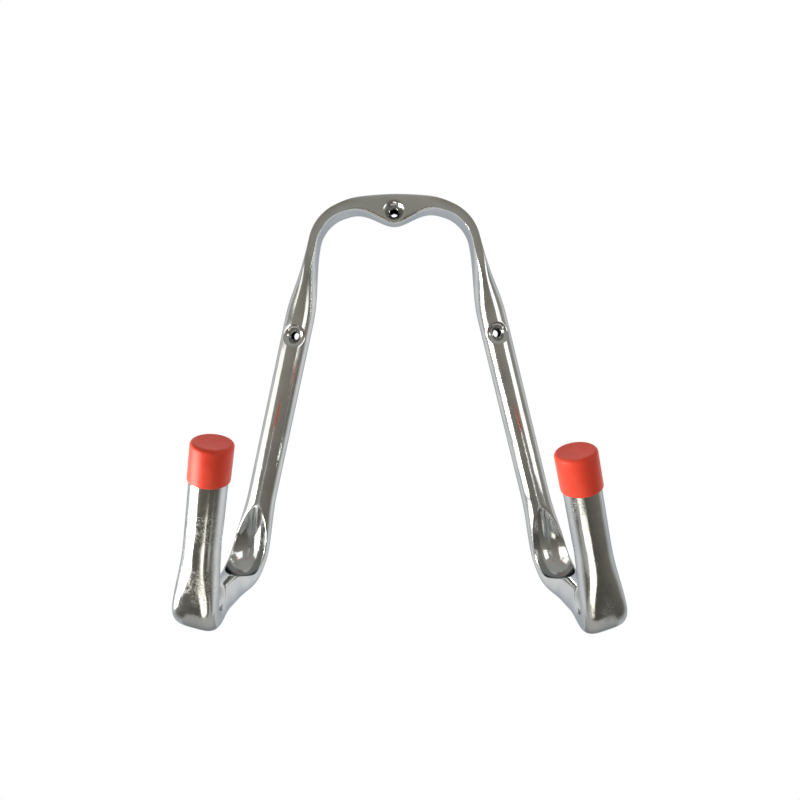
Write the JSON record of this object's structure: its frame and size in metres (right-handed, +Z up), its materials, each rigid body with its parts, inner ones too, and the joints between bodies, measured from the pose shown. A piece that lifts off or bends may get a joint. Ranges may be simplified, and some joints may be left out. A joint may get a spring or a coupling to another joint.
{
  "type": "double wall hook",
  "caption": "Zinc-plated steel tube bent into an arch with two forward hooks, dimpled screw holes and red soft end caps.",
  "frame": {"origin": "on the wall plane, on the axis of the top screw hole", "axes": "+Z up along the wall, -Y out of the wall towards the user, +X to the viewer's right"},
  "size_m": [0.2476, 0.1276, 0.263],
  "materials": {
    "zinc_plated_steel": "polished",
    "red_vinyl": "satin"
  },
  "bodies": {
    "root": {"bent_tube": "zinc_plated_steel", "left_end_cap": "red_vinyl", "right_end_cap": "red_vinyl"}
  },
  "joints": []
}
